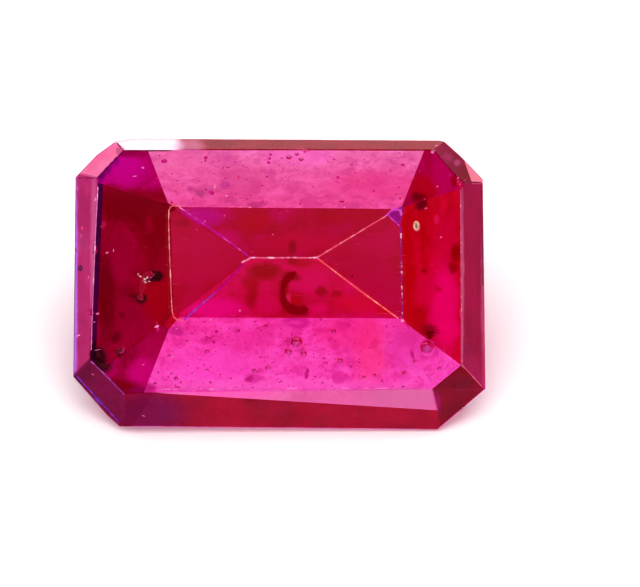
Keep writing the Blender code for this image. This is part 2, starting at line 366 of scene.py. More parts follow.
# pavilion faces seen through the table: the pink ones are painted light that the stone sends back, the
# crimson and dark red ones painted shade
zones["pavilion"] = {
    "upper": {
        "towards": (0.003, 0.854, -0.521),
        "colour": (244, 100, 172), "deep": (206, 58, 146), "pale": (255, 120, 206),
        "clouds": (2.2, 0.5, 0.6, 0.45, 0.35, 5.0),
        "patches": [
            (240, 182, 26, 16, (214, 70, 138), 0.5), (205, 191, 12, 5, (190, 60, 130), 0.5),
            (300, 153, 34, 12, (255, 98, 200), 0.6), (378, 184, 44, 14, (236, 58, 140), 0.6),
            (180, 160, 26, 14, (245, 95, 165), 0.5), (225.7, 187, 5, 3.5, (196, 60, 150), 0.7, 0.4),
            (273, 173, 4, 4, (212, 66, 150), 0.6, 0.4), (189, 190, 4, 3, (190, 60, 140), 0.6, 0.5),
            (198, 192, 5, 3, (180, 60, 124), 0.6, 0.5), (256, 203.5, 9, 2.6, (184, 40, 112), 0.65, 0.5),
            (231, 200, 6, 4, (196, 60, 130), 0.5, 0.6), (330, 196, 7, 4, (216, 60, 140), 0.5, 0.6),
        ],
    },
    "lower": {
        "towards": (0.001, -0.695, -0.719),
        "colour": (250, 68, 184), "deep": (216, 22, 134), "pale": (255, 92, 210),
        "clouds": (2.4, 0.5, 0.6, 0.45, 0.6, 4.2),
        "patches": [
            (370, 352, 16, 34, (250, 52, 128), 0.6), (345, 335, 26, 14, (240, 30, 130), 0.5),
            (405, 345, 20, 24, (222, 52, 165), 0.5), (210, 368, 40, 20, (255, 72, 205), 0.6),
            (250, 340, 26, 12, (238, 48, 165), 0.5), (290, 384, 120, 5, (255, 90, 200), 0.6),
            # (296.7, 322) and (294, 322.5) paint the curl's reflection in this face
            (296.7, 322, 13, 6, (212, 20, 150), 0.85, 0.3), (294, 322.5, 8, 2, (240, 70, 180), 0.6, 0.5),
            (177, 332, 8, 4.5, (190, 20, 130), 0.75, 0.4),
            (338.7, 377.7, 6.5, 6.5, (222, 34, 150), 0.7, 0.35),
            (373.8, 343.3, 5, 5, (228, 34, 124), 0.7, 0.35), (343, 325.8, 8, 4, (222, 26, 136), 0.6, 0.4),
            (290, 343, 4, 3.6, (190, 24, 116), 0.65, 0.45), (300, 340, 4, 3, (196, 24, 116), 0.65, 0.45),
            (298.5, 350, 5.5, 3, (194, 26, 116), 0.65, 0.45),
            (427.5, 349, 9, 9, (206, 30, 136), 0.55, 0.35), (147, 388, 8, 5, (176, 10, 110), 0.8, 0.45),
            (254, 378, 9, 5, (206, 24, 138), 0.6, 0.4), (206, 340, 6, 4.5, (216, 30, 140), 0.55, 0.4),
            (237, 331, 5, 3.5, (216, 30, 140), 0.5, 0.4),
        ],
    },
    "left": {
        "cut": {"line": ((102.0, 182.0), (95.0, 352.0)), "side": 1},
        "towards": (-0.741, -0.044, -0.670),
        "colour": (142, 0, 28), "deep": (100, 0, 4), "pale": (162, 0, 58),
        "clouds": (1.0, 0.6, 0.6, 0.3, 0.15, 3.0),
        "patches": [
            (128, 205, 34, 16, (108, 0, 4), 0.85), (155, 232, 16, 26, (120, 0, 6), 0.6),
            (120, 262, 16, 34, (146, 0, 46), 0.6), (157, 300, 16, 24, (158, 0, 14), 0.8),
            (130, 318, 18, 20, (142, 0, 44), 0.6), (106, 300, 8, 44, (92, 0, 4), 0.75),
            (140.5, 298.5, 6, 4.4, (40, 6, 8), 0.95, 0.45), (133, 296, 4, 2, (84, 2, 12), 0.8, 0.5),
            (154, 276.5, 7, 5.4, (28, 4, 6), 0.97, 0.35), (121, 352, 5, 4.4, (50, 6, 10), 0.95, 0.45),
            (129, 355, 4, 2.4, (90, 0, 16), 0.75, 0.5), (115.5, 337, 5, 5, (92, 0, 8), 0.85, 0.55),
            (121.5, 315.6, 3.2, 3.2, (108, 0, 20), 0.8, 0.5), (97, 361, 9, 13, (26, 2, 6), 0.97, 0.45),
            (102, 226, 3.4, 3.6, (190, 20, 84), 0.6, 0.5), (148, 224, 4, 8, (150, 0, 30), 0.6, 0.6),
        ],
    },
    "right": {
        "cut": {"line": ((402.4, 319.6), (458.0, 362.0)), "side": 1},
        "towards": (0.796, -0.026, -0.605),
        "colour": (192, 0, 24), "deep": (160, 0, 0), "pale": (214, 0, 58),
        "clouds": (1.2, 0.6, 0.5, 0.3, 0.15, 3.0),
        "patches": [
            (406, 262, 9, 70, (180, 0, 2), 0.8), (444, 306, 15, 44, (232, 0, 100), 0.9),
            (446, 236, 12, 26, (200, 0, 52), 0.7), (424, 290, 10, 14, (202, 0, 56), 0.6),
            (422, 205, 6, 6, (88, 0, 4), 0.95, 0.55), (457, 252, 4.6, 9, (140, 0, 0), 0.9, 0.4),
            (454, 268, 5, 6, (146, 0, 2), 0.85, 0.45), (425, 270, 3, 2.4, (146, 0, 2), 0.8, 0.5),
            (436, 219, 2.6, 4, (222, 20, 88), 0.6, 0.5), (438, 290, 4, 3, (176, 0, 16), 0.6, 0.5),
            (430, 331, 8, 6, (128, 0, 10), 0.9), (448, 330, 12, 12, (232, 0, 92), 0.7),
        ],
    },
    "upper_left": {
        "towards": (-0.341, 0.766, -0.545),
        "colour": (184, 0, 104), "deep": (132, 0, 40), "pale": (204, 0, 150),
        "clouds": (1.2, 0.5, 0.5, 0.3, 0.15, 3.0),
        "patches": [
            (126, 172, 20, 14, (196, 0, 136), 0.8), (152, 199, 20, 12, (132, 0, 18), 0.9),
            (128, 152, 16, 5, (126, 0, 40), 0.75), (101, 176, 5, 5, (80, 0, 84), 0.8, 0.6),
            (107, 169, 4, 5, (90, 0, 90), 0.7, 0.7), (114, 162, 4, 5, (100, 0, 90), 0.6, 0.7),
            (112, 188, 10, 4, (136, 0, 20), 0.7, 0.8), (132, 194, 12, 5, (132, 0, 18), 0.8, 0.8),
        ],
    },
    "upper_right": {
        "towards": (0.476, 0.695, -0.538),
        "colour": (172, 0, 74), "deep": (150, 0, 20), "pale": (188, 0, 92),
        "clouds": (1.2, 0.5, 0.4, 0.3, 0.15, 3.0),
        "patches": [
            (424, 188, 15, 14, (170, 0, 14), 0.9), (444, 172, 14, 16, (182, 0, 82), 0.8),
            (418, 197, 7, 5, (100, 0, 6), 0.9, 0.55), (455, 181, 3.4, 6, (146, 0, 0), 0.8, 0.4),
            (404, 204, 6, 5, (140, 0, 40), 0.7, 0.5),
        ],
    },
    "lower_left": {
        "towards": (-0.464, -0.515, -0.721),
        "colour": (150, 0, 52), "deep": (106, 0, 8), "pale": (184, 0, 100),
        "clouds": (1.4, 0.5, 0.5, 0.3, 0.15, 3.0),
        "patches": [
            (143, 372, 14, 13, (200, 0, 116), 0.9), (120, 389, 18, 9, (116, 0, 4), 0.9),
            (101, 364, 10, 10, (24, 4, 4), 0.97), (152, 343, 16, 14, (168, 0, 70), 0.7),
            (142, 391, 12, 4.5, (134, 0, 70), 0.85, 0.5),
        ],
    },
    "keel_upper": {
        "towards": (-0.003, 0.460, -0.888),
        "colour": (170, 0, 36), "deep": (146, 0, 4), "pale": (190, 0, 92),
        "clouds": (1.1, 0.5, 0.5, 0.3, 0.15, 3.0),
        "patches": [
            (198, 216, 26, 10, (186, 0, 128), 0.8), (256, 222, 16, 12, (168, 0, 12), 0.85),
            (220, 238, 18, 8, (190, 0, 92), 0.7), (300, 243, 40, 10, (184, 0, 44), 0.7),
            (350, 217, 34, 8, (164, 0, 16), 0.7), (292.5, 247, 4.4, 7, (138, 0, 4), 0.9, 0.5),
        ],
    },
    "keel_lower": {
        "towards": (0.002, -0.448, -0.894),
        "colour": (196, 0, 58), "deep": (168, 0, 6), "pale": (214, 0, 90),
        "clouds": (1.2, 0.5, 0.5, 0.3, 0.15, 3.0),
        "patches": [
            (214, 309, 28, 10, (228, 0, 116), 0.9), (265, 271, 16, 9, (146, 0, 0), 0.95, 0.45),
            (250, 281, 8, 6, (158, 0, 6), 0.8, 0.6), (252, 296, 5.5, 12, (154, 0, 4), 0.85, 0.55),
            (308, 282, 20, 12, (206, 0, 78), 0.8), (268, 306, 12, 8, (206, 0, 74), 0.7),
            (322, 290.8, 6, 5.4, (150, 0, 6), 0.95, 0.5), (336, 295, 5, 4.4, (158, 0, 10), 0.9, 0.5),
            (293, 260, 5, 4, (132, 0, 4), 0.85, 0.5), (300, 262, 14, 4, (166, 0, 6), 0.7, 0.6),
            (291, 277, 8.5, 5.5, (144, 0, 4), 0.95, 0.45), (284, 288, 5, 9, (148, 0, 2), 0.95, 0.4),
            (284.5, 299, 5.4, 8, (144, 0, 2), 0.95, 0.4), (291, 308, 7.5, 5.6, (140, 0, 4), 0.95, 0.4),
            (301, 310.6, 8, 5, (136, 0, 4), 0.97, 0.4), (296.5, 300, 6, 7, (170, 0, 8), 0.85, 0.45),
            # (289, 299.5) is a painted highlight inside the curl
            (289, 299.5, 2.6, 4.8, (214, 16, 84), 0.85, 0.45), (318, 308, 10, 5, (214, 0, 84), 0.7),
            (356, 304, 24, 9, (206, 0, 36), 0.7), (386, 310, 10, 5, (192, 0, 10), 0.8),
        ],
    },
    "keel_left": {
        "towards": (-0.333, -0.038, -0.942),
        "colour": (172, 0, 38), "deep": (154, 0, 8), "pale": (180, 0, 56),
        "clouds": (1.0, 0.5, 0.5, 0.1, 0.05, 3.0),
        "patches": [(182, 222, 8, 5, (146, 0, 18), 0.8, 0.6), (214, 290, 12, 10, (168, 0, 26), 0.7)],
    },
    "small_facet": {
        "towards": (0.431, 0.116, -0.895),
        "colour": (140, 0, 112), "deep": (120, 0, 92), "pale": (160, 10, 130),
        "clouds": (3.0, 0.5, 0.5, 0.1, 0.0, 3.0),
        "patches": [],
    },
    "trim_upper_left": {
        "towards": (-0.471, 0.394, -0.789),
        "colour": (116, 0, 12), "deep": (90, 0, 4), "pale": (140, 0, 30),
        "clouds": (3.0, 0.5, 0.5, 0.1, 0.0, 3.0),
        "patches": [],
    },
    "trim_lower_left": {
        "towards": (-0.397, -0.436, -0.808),
        "colour": (176, 0, 24), "deep": (150, 0, 8), "pale": (190, 0, 50),
        "clouds": (3.0, 0.5, 0.5, 0.1, 0.0, 3.0),
        "patches": [],
    },
    "keel_right": {
        "towards": (0.315, -0.049, -0.948),
        "colour": (176, 0, 46), "deep": (160, 0, 14), "pale": (184, 0, 62),
        "clouds": (1.0, 0.5, 0.5, 0.1, 0.05, 3.0),
        "patches": [(360, 262, 18, 14, (170, 0, 40), 0.6)],
    },
}
# crown faces: their colours are painted reflections and painted light
zones["crown"] = {
    "crown_left": {
        "towards": (-0.819, 0.038, 0.572),
        "colour": (172, 8, 88), "deep": (148, 0, 70), "pale": (190, 36, 114),
        "clouds": (1.0, 0.5, 0.5, 0.1, 0.1, 3.0),
        "patches": [
            # (95, 272) is a painted pale stripe of light, and (75, 275) a painted violet fringe of light
            # along the outer edge
            (95, 272, 3.5, 110, (202, 78, 144), 0.7), (75, 275, 3.3, 130, (184, 96, 236), 0.97),
            (84, 240, 3, 12, (150, 20, 90), 0.7), (81.4, 268, 2.6, 3, (66, 0, 54), 0.95, 0.35),
        ],
    },
    "crown_upper_left": {
        "towards": (-0.615, 0.595, 0.517),
        "colour": (250, 106, 164), "deep": (230, 70, 130), "pale": (255, 140, 190),
        "clouds": (1.0, 0.5, 0.5, 0.1, 0.1, 3.0),
        "patches": [(120, 152, 3, 4, (150, 20, 60), 0.6)],
    },
    # dark, a painted dark reflection, with a painted pale highlight at its left end
    "crown_upper": {
        "towards": (0.002, 0.938, 0.348),
        "colour": (136, 0, 6), "deep": (100, 0, 0), "pale": (156, 0, 16),
        "clouds": (1.0, 0.5, 0.5, 0.1, 0.1, 3.0),
        "patches": [(140, 146, 42, 14, (270, 240, 262), 1, 0.15), (190, 148, 14, 8, (230, 120, 180), 0.5)],
    },
    "crown_upper_right": {
        "cut": {"line": ((463.0, 156.0), (471.5, 181.0)), "side": -1},
        "towards": (0.643, 0.550, 0.533),
        "colour": (118, 0, 24), "deep": (90, 0, 0), "pale": (140, 0, 46),
        "clouds": (1.4, 0.5, 0.5, 0.1, 0.1, 3.0),
        "patches": [
            (447, 158, 5, 4, (150, 14, 70), 0.7, 0.6), (456.5, 163, 3.4, 3, (186, 50, 116), 0.7, 0.5),
        ],
    },
    "crown_right": {
        "towards": (0.760, 0.0, 0.649),
        "colour": (138, 0, 44), "deep": (112, 0, 30), "pale": (156, 0, 56),
        "clouds": (0.9, 0.5, 0.5, 0.1, 0.1, 3.0),
        # the pale stripes along both edges are painted highlights
        "patches": [(461, 280, 2, 95, (196, 84, 128), 0.7), (483, 270, 2.5, 100, (176, 70, 120), 0.7)],
    },
    "crown_lower_right": {
        "towards": (0.392, -0.478, 0.786),
        "colour": (104, 0, 0), "deep": (76, 0, 0), "pale": (128, 0, 2),
        "clouds": (1.2, 0.6, 0.5, 0.1, 0.1, 3.0),
        "patches": [(435, 404, 5, 12, (142, 0, 86), 0.7)],
    },
    # its dark red and the plum patch are a painted dark reflection
    "crown_lower": {
        "cut": {"line": ((150.0, 392.8), (433.5, 410.4)), "side": -1},
        "towards": (0.007, -0.587, 0.810),
        "colour": (146, 0, 12), "deep": (108, 0, 2), "pale": (168, 0, 22),
        "clouds": (1.0, 0.5, 0.5, 0.3, 0.15, 3.0),
        "patches": [(148, 412, 36, 22, (94, 0, 44), 0.95)],
    },
    "crown_lower_left": {
        "towards": (-0.478, -0.511, 0.714),
        "colour": (98, 0, 42), "deep": (80, 0, 30), "pale": (114, 0, 56),
        "clouds": (1.2, 0.5, 0.5, 0.1, 0.1, 3.0),
        # a painted violet fringe of light along the outer edge
        "patches": [(86, 402, 14, 5, (120, 60, 200), 0.6)],
    },
}
# painted shade: the left face darkens to violet along the edge of the table
zones["pavilion"]["left_margin"] = {
    "towards": zones["pavilion"]["left"]["towards"],
    "cut": {**zones["pavilion"]["left"]["cut"], "side": -1},
    "colour": (56, 0, 52), "deep": (34, 0, 34), "pale": (82, 0, 48),
    "clouds": (1.0, 0.6, 0.6, 0.2, 0.0, 3.0),
    "patches": [(94, 352, 7, 11, (24, 0, 10), 0.95, 0.4)],
}
# painted light: the tip of the upper right crown face is pale
zones["crown"]["crown_upper_right_tip"] = {
    "towards": zones["crown"]["crown_upper_right"]["towards"],
    "cut": {**zones["crown"]["crown_upper_right"]["cut"], "side": 1},
    "colour": (246, 122, 150), "deep": (232, 96, 130), "pale": (255, 150, 176),
    "clouds": (1.4, 0.5, 0.5, 0.1, 0.1, 3.0),
    "patches": [],
}
# painted light: the lower crown face is pale along the table
zones["crown"]["crown_lower_band"] = {
    "towards": zones["crown"]["crown_lower"]["towards"],
    "cut": {**zones["crown"]["crown_lower"]["cut"], "side": 1},
    "colour": (224, 88, 156), "deep": (204, 70, 140), "pale": (238, 120, 180),
    "clouds": (1.4, 0.5, 0.5, 0.3, 0.1, 4.0),
    "patches": [(225, 392, 50, 8, (246, 84, 176), 0.8), (400, 398, 40, 12, (206, 92, 150), 0.8)],
}
# painted light: the pink of the lower face carries on over a corner of the right one
zones["pavilion"]["lower_wing"] = {
    **zones["pavilion"]["lower"],
    "towards": zones["pavilion"]["right"]["towards"],
    "cut": {**zones["pavilion"]["right"]["cut"], "side": -1},
}


# the faces of one polished flat
def flatFaces(body, towards):
    way = (xAxis * towards[0] + yAxis * towards[1] + nAxis * towards[2]).normalized()
    alike = [f for f in body.faces if f.normal.dot(way) > zones["alike"]]
    main = max(alike, key=lambda f: f.calc_area())
    normal = main.normal.copy()
    level = main.calc_center_median().dot(normal)
    flat = []
    for face in alike:
        apart = abs(face.calc_center_median().dot(normal) - level)
        if face.normal.dot(normal) > zones["parallel"] and apart < zones["level"] * mm:
            flat.append(face)
    return flat, normal


# painted light: the colour shines by itself, and plain light brings out a share of it
def linkColour(tree, colour, shader):
    dimmed = mixColours(tree, 1.0, colour, zones["base"], "MULTIPLY")
    setSockets(shader, {"Base Color": dimmed, "Emission Color": colour})


def cloudColours(look, depth):
    return {"Color": seen(look["colour"], depth), "Deep": seen(look["deep"], depth),
            "Pale": seen(look["pale"], depth)}


def paintedLightMaterial(name, zone, part, depth):
    material, tree, shader = newMaterial(name)
    where = stonePlace(tree)
    shape = dict(zip(zones["cloudSockets"], zone["clouds"]))
    clouds = useGroup(tree, "growthClouds", {"Place": where, **cloudColours(zone, depth), **shape})
    # a slow noise pushes the places about, so that soft patches get uneven rims
    scale, amount = zones["drift"][part]
    waves = addNode(tree, "TexNoise", {"Vector": where, "Scale": scale, **zones["driftNoise"]})
    pushed = vectorMaths(tree, "MULTIPLY_ADD", waves.outputs["Color"], (amount, amount, 0), where)
    flat = vectorMaths(tree, "MULTIPLY_ADD", pushed, (1, 1, 0), (-amount / 2, -amount / 2, 0))
    colour = clouds.outputs["Color"]
    for px, py, halfWidth, halfHeight, tint, share, *edge in zone["patches"]:
        patch = useGroup(tree, "softPatch", {
            "Color": colour, "Patch": seen(tint, depth), "Place": flat, "Centre": (*mmOf(px, py), 0),
            "Across": (1 / (halfWidth * view["pixel"]), 1 / (halfHeight * view["pixel"]), 1),
            "Edge": edge[0] if edge else zones["edge"], "Amount": share,
        })
        colour = patch.outputs["Color"]
    linkColour(tree, colour, shader)
    inside, outside = zones["cover"][part]
    behind = addNode(tree, "NewGeometry").outputs["Backfacing"]
    setSockets(shader, {
        "Roughness": 1.0, "Specular IOR Level": 0.0, "Emission Strength": zones["glow"],
        "Alpha": mapRange(tree, behind, 0.0, 1.0, outside, inside),
    })
    return material


def buildPaintedLight():
    for part in ("pavilion", "crown"):
        for name, zone in zones[part].items():
            body = solidBody()
            flat, normal = flatFaces(body, zone["towards"])
            kept = set(flat)
            area = sum(f.calc_area() for f in flat)
            middle = sum((f.calc_center_median() * f.calc_area() for f in flat), Vector()) / area
            others = [f for f in body.faces if f not in kept]
            bmesh.ops.delete(body, geom=others, context="FACES")
            bmesh.ops.dissolve_limit(
                body, angle_limit=zones["dissolveAngle"], verts=body.verts[:], edges=body.edges[:])
            if "cut" in zone:
                a, b = (place(*spot) for spot in zone["cut"]["line"])
                across = (b - a).normalized().cross(nAxis) * zone["cut"]["side"]
                everything = body.verts[:] + body.edges[:] + body.faces[:]
                bmesh.ops.bisect_plane(body, geom=everything, plane_co=a, plane_no=across, clear_outer=True)
            bmesh.ops.translate(body, vec=-normal * zones["lift"] * mm, verts=body.verts[:])
            label = "painted_light_" + name
            addPiece(label, body, paintedLightMaterial(label, zone, part, depthOf(middle)))
    print("colour zones built")


# finds the stone's surface under or over a place in the photograph, from so many mm under the table
solid = solidBody()
surface = BVHTree.FromBMesh(solid)
solid.free()
probe = {"inside": 0.4, "outside": -1.0}


def onPavilion(px, py, lift):
    hit = surface.ray_cast(place(px, py, probe["inside"]), -nAxis)[0]
    return hit + nAxis * lift * mm


def onTop(px, py, sink):
    hit = surface.ray_cast(place(px, py, probe["outside"]), -nAxis)[0]
    return hit - nAxis * sink * mm


# one fine line, made of short rods that grow thicker and thinner
thread = {"rod": 0.07, "overlap": 1.15, "unevenness": 12000, "sides": 6}


def addThread(body, points, radius, wobble):
    for a, b in zip(points, points[1:]):
        steps = max(1, round((b - a).length / (thread["rod"] * mm)))
        for i in range(steps):
            p = a.lerp(b, i / steps)
            q = a.lerp(b, (i + 1) / steps)
            thick = radius * mm * (1 + wobble * noise.noise(p * thread["unevenness"]))
            turn = (q - p).normalized().to_track_quat("Z", "Y").to_matrix().to_4x4()
            bmesh.ops.create_cone(
                body, cap_ends=True, segments=thread["sides"], radius1=thick, radius2=thick,
                depth=(q - p).length * thread["overlap"], matrix=Matrix.Translation((p + q) / 2) @ turn)


# painted light and shade of the rubbed ridges, as glowing fine threads: pale with brighter dashes on most,
# dark on a few. Points are places in the photograph.
lines = {
    "glow": 0.8,
    "rough": 0.8,
    "lift": 0.055,  # mm over the ridges of the pavilion
    "sink": 0.02,  # mm under the ridges of the crown
    "wobble": 0.5,
    "dashScale": 3.5,
    "dashes": {"Deep Amount": 0.0, "Pale Amount": 1.0, "Grain": 0.0, "Seeds": 0.0},
}
lines["pavilion"] = {
    "step_left": {
        "colour": (236, 92, 104), "dash": (255, 176, 160), "radius": 0.015,
        "points": [
            (180, 205.5), (174, 205.2), (170, 206.2), (168.2, 210), (168, 222), (168.6, 246), (169.6, 270),
            (170.8, 300), (171.6, 312), (173, 317), (176, 319.6), (183, 320.4),
        ],
    },
    "keel_line": {
        "colour": (232, 96, 140), "dash": (255, 228, 236), "radius": 0.016, "dashScale": 5.0,
        "points": [
            (241, 262.5), (246, 260), (250, 257.4), (270, 257.6), (290, 257.4), (306, 257.6), (317, 257.4),
        ],
    },
    "upper_left_line": {
        "colour": (188, 18, 150), "dash": (246, 130, 214), "radius": 0.016,
        "points": [(179, 207), (196, 218.5), (212, 229.5), (228, 241), (243, 252), (250, 257.4)],
    },
    "lower_left_line": {
        "colour": (160, 40, 180), "dash": (206, 120, 214), "radius": 0.018,
        "points": [(183, 320.4), (198, 307), (213, 294)],
    },
    "lower_left_fade": {
        "colour": (184, 0, 132), "dash": (190, 30, 160), "radius": 0.018,
        "points": [(213, 294), (227, 281.5), (237, 271), (243, 263)],
    },
    "upper_right_line": {
        "colour": (240, 84, 116), "dash": (255, 160, 176), "radius": 0.015,
        "points": [(317, 257.4), (334, 247), (354, 235), (372, 224), (385, 216.5)],
    },
    "upper_right_loop": {
        "colour": (214, 66, 190), "dash": (255, 160, 232), "radius": 0.024,
        "points": [(385, 216.5), (389, 213), (392, 209.8), (397, 208.6), (401, 210.4), (401.6, 215)],
    },
    "small_facet_line": {
        "colour": (190, 40, 190), "dash": (232, 110, 220), "radius": 0.015,
        "points": [(389, 215), (393.5, 219.5), (398, 223.5), (401, 227)],
    },
    "lower_right_line": {
        "colour": (244, 84, 92), "dash": (255, 160, 140), "radius": 0.015,
        "points": [(317, 257.6), (335, 271.5), (356, 287.5), (378, 303.5), (398, 318)],
    },
    "step_right": {
        "colour": (150, 16, 124), "dash": (255, 205, 236), "radius": 0.018, "dashScale": 7.0,
        "points": [(401.4, 226), (401.8, 250), (402, 280), (402.4, 302), (402.6, 318)],
    },
}
lines["crown"] = {
    "table_lower_left": {
        "colour": (140, 44, 146), "dash": (190, 90, 170), "radius": 0.014,
        "points": [(91.5, 361), (104, 373), (122, 391), (125, 394)],
    },
    "table_left": {
        "colour": (222, 120, 170), "dash": (255, 190, 220), "radius": 0.012,
        "points": [(98.4, 187), (96.2, 230), (94.5, 270), (92.9, 310), (91.7, 350)],
    },
    "outline_lower_left": {
        "colour": (90, 24, 176), "dash": (140, 70, 214), "radius": 0.016,
        "points": [(77, 375.8), (98.8, 399.8), (118.6, 421.4)],
    },
    "corner_left": {
        "colour": (118, 0, 50), "dash": (150, 10, 80), "radius": 0.012,
        "points": [(77.8, 178), (87, 178.1), (97.6, 178.3)],
    },
    "table_upper_left": {
        "colour": (98, 0, 78), "dash": (140, 0, 100), "radius": 0.015,
        "points": [(98.4, 177.8), (111, 164.6), (124, 151.4)],
    },
    "corner_upper_left": {
        "colour": (100, 0, 40), "dash": (130, 0, 50), "radius": 0.012,
        "points": [(117.2, 143.4), (120.6, 147), (124, 150.8)],
    },
    "table_upper": {
        "colour": (70, 0, 16), "dash": (130, 10, 50), "radius": 0.011,
        "points": [(125, 151), (140, 151), (156, 151), (172, 151)],
    },
    "corner_right": {
        "colour": (96, 0, 34), "dash": (130, 0, 50), "radius": 0.012,
        "points": [(462.6, 182.2), (471, 182.4), (480.8, 182.7)],
    },
    "outline_right": {
        "colour": (84, 0, 26), "dash": (120, 10, 60), "radius": 0.012,
        "points": [(481.2, 184), (481.8, 230), (482.4, 285)],
    },
    "corner_lower_right": {
        "colour": (196, 74, 104), "dash": (226, 120, 140), "radius": 0.014,
        "points": [(461.5, 365), (471, 375), (481, 386)],
    },
    "table_right": {
        "colour": (190, 74, 124), "dash": (230, 130, 160), "radius": 0.013,
        "points": [(460.2, 190), (460.6, 240), (461, 300), (461.3, 362)],
    },
    "table_lower": {
        "colour": (228, 84, 170), "dash": (250, 150, 210), "radius": 0.009,
        "points": [(160, 389), (230, 388.5), (300, 388), (370, 388), (425, 388)],
    },
}


def paintedRidgeMaterial(name, line, depth):
    material, tree, shader = newMaterial(name)
    look = {"colour": line["colour"], "deep": line["colour"], "pale": line["dash"]}
    # the paler blotches are painted highlight dashes along the thread
    clouds = useGroup(tree, "growthClouds", {
        "Place": stonePlace(tree), **cloudColours(look, depth),
        "Scale": line.get("dashScale", lines["dashScale"]), **lines["dashes"]})
    linkColour(tree, clouds.outputs["Color"], shader)
    setSockets(shader, {
        "Roughness": lines["rough"], "Specular IOR Level": 0.0, "Emission Strength": lines["glow"]})
    return material


def buildPaintedRidges():
    for part in ("pavilion", "crown"):
        for name, line in lines[part].items():
            if part == "pavilion":
                points = [onPavilion(px, py, lines["lift"]) for px, py in line["points"]]
            else:
                points = [onTop(px, py, lines["sink"]) for px, py in line["points"]]
            body = bmesh.new()
            addThread(body, points, line["radius"], lines["wobble"])
            label = "line_" + name
            addPiece(label, body, paintedRidgeMaterial(label, line, depthOf(points[0])), True)
    print("ridge lines built")


# air bubbles: place in the photograph, radius in its pixels, height over the pavilion in mm
bubbles = {
    "ior": 1 / stone["ior"],
    "wear": {"Polish": 0.0, "Scale": 6.0, "Depth": 0.0},
    "dent": 0.06,
    "dentScale": 1.5,
    "squash": (1, 1, 0.8),
    "fine": 4,
    "large": [
        (427.5, 349, 8, 0.3), (296.5, 343.5, 6.5, 0.35), (288.5, 352.5, 4.2, 0.3),
        (303.6, 354.5, 3.6, 0.28), (340.2, 361.5, 3.4, 0.25), (333.8, 332, 2.8, 0.3),
        (268, 368, 3.2, 0.25), (254, 371, 2.4, 0.22), (404.6, 373.8, 2.8, 0.25), (415.2, 362, 2.4, 0.25),
        (440.4, 369, 2.6, 0.22), (206.8, 352, 2.4, 0.25), (374.5, 376, 2.4, 0.22), (364, 377.7, 2, 0.22),
        (265.6, 327, 2.6, 0.3), (176, 379, 2.4, 0.2), (342, 200, 2.4, 0.25), (289, 156.5, 3, 0.25),
        (297, 153.6, 2.2, 0.25), (301, 158.6, 2.6, 0.25),
    ],
    "small": {
        "count": 90, "radius": (0.5, 1.5), "height": (0.1, 0.5), "seed": 4, "fine": 2,
        "wide": (0.8, 1.3), "high": (0.8, 1.2), "thick": 0.9,
    },
}


def airMaterial():
    material, tree, shader = newMaterial("air_bubble")
    wear = useGroup(tree, "faceWear", {"Place": stonePlace(tree), **bubbles["wear"]})
    setSockets(shader, {
        "IOR": bubbles["ior"], "Transmission Weight": 1.0, "Roughness": wear.outputs["Roughness"]})
    return material


def addBall(body, centre, radius, squash, fine):
    ball = bmesh.ops.create_icosphere(body, subdivisions=fine, radius=radius)["verts"]
    for v in ball:
        dent = noise.noise(v.co.normalized() * bubbles["dentScale"] + centre / mm)
        v.co = v.co + v.co * bubbles["dent"] * dent
    size = Matrix.Diagonal((*squash, 1))
    bmesh.ops.transform(body, verts=ball, matrix=Matrix.Translation(centre) @ stoneTurn @ size)


# scattered places under the two large pink faces, two of three under the lower one
pink = {"across": (150, 450), "lower": (322, 388), "upper": (152, 204), "steep": 0.65}


def pinkPlaces(dice, count):
    while count:
        px = dice.uniform(*pink["across"])
        py = dice.choice([dice.uniform(*pink[face]) for face in ("lower", "lower", "upper")])
        hit, normal = surface.ray_cast(place(px, py, probe["inside"]), -nAxis)[:2]
        if abs(normal.dot(yAxis)) > pink["steep"]:
            count -= 1
            yield px, py


def buildBubbles():
    body = bmesh.new()
    for px, py, radius, height in bubbles["large"]:
        size = radius * view["pixel"] * mm
        addBall(body, onPavilion(px, py, height), size, bubbles["squash"], bubbles["fine"])
    small = bubbles["small"]
    dice = random.Random(small["seed"])
    for px, py in pinkPlaces(dice, small["count"]):
        radius = dice.uniform(*small["radius"]) * view["pixel"] * mm
        squash = (dice.uniform(*small["wide"]), dice.uniform(*small["high"]), small["thick"])
        addBall(body, onPavilion(px, py, dice.uniform(*small["height"])), radius, squash, small["fine"])
    addPiece("bubbles", body, airMaterial(), True)
    print("bubbles built")


# what every inclusion's material has: its clouds and its wear. Its colour also shines by itself, painted
# light.
caught = {
    "clouds": {"Scale": 9.0, "Deep Amount": 0.8, "Pale Amount": 0.8, "Seeds": 0.0},
    "wear": {"Scale": 5.0, "Depth": 0.5},
}


def inclusionMaterial(name, kind):
    material, tree, shader = newMaterial(name)
    where = stonePlace(tree)
    colours = cloudColours(kind, kind["depth"])
    clouds = useGroup(tree, "growthClouds", {"Place": where, **colours, **caught["clouds"]})
    wear = useGroup(tree, "faceWear", {"Place": where, "Polish": kind["rough"], **caught["wear"]})
    linkColour(tree, clouds.outputs["Color"], shader)
    setSockets(shader, {
        "Specular IOR Level": 0.0, "Emission Strength": kind["glow"], "Alpha": kind.get("solid", 1.0),
        "Roughness": wear.outputs["Roughness"],
    })
    return material


# an uneven grain, turned and stretched in the plane of the table. Its size is in pixels.
grit = {"scale": 1.6, "spread": 3, "dimension": 0.6, "lacunarity": 2.2, "octaves": 3}


